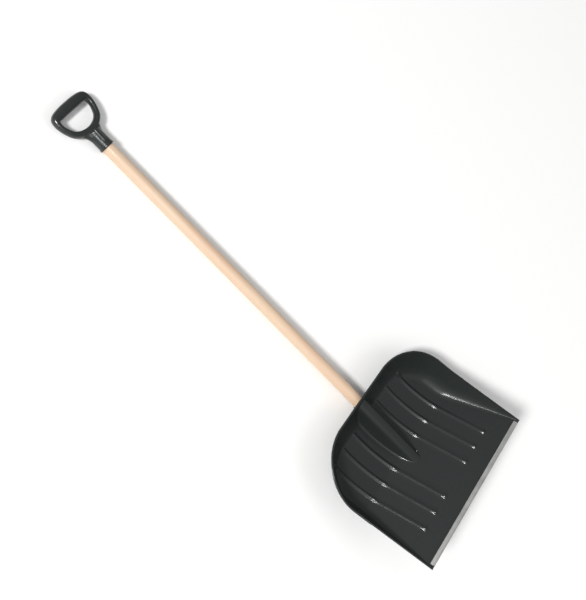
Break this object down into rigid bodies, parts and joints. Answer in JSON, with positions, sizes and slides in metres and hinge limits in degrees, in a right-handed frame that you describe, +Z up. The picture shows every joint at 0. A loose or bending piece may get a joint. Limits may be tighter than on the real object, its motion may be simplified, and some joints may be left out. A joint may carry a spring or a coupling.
{
  "type": "snow shovel",
  "caption": "Snow shovel with a wide ribbed scoop, a metal wear edge, a straight round wooden shaft and a D-grip.",
  "frame": {"origin": "on the floor, under the middle of the bounding box, with the shovel lying on its back", "axes": "+X across the blade, +Y from the grip to the wear edge, +Z up out of the hollow of the scoop"},
  "size_m": [0.498, 1.3947, 0.1579],
  "materials": {
    "moulded_plastic": "injection-moulded polypropylene, near-black, semi-gloss",
    "edge_metal": "rolled aluminium strip, satin",
    "shaft_wood": "sanded pale softwood under a thin clear coat",
    "screw_steel": "zinc-plated steel"
  },
  "bodies": {
    "root": {"blade": "moulded_plastic", "wear_edge": "edge_metal", "shaft": "shaft_wood", "grip": "moulded_plastic", "blade_screw": "screw_steel", "grip_screw": "screw_steel"}
  },
  "joints": []
}
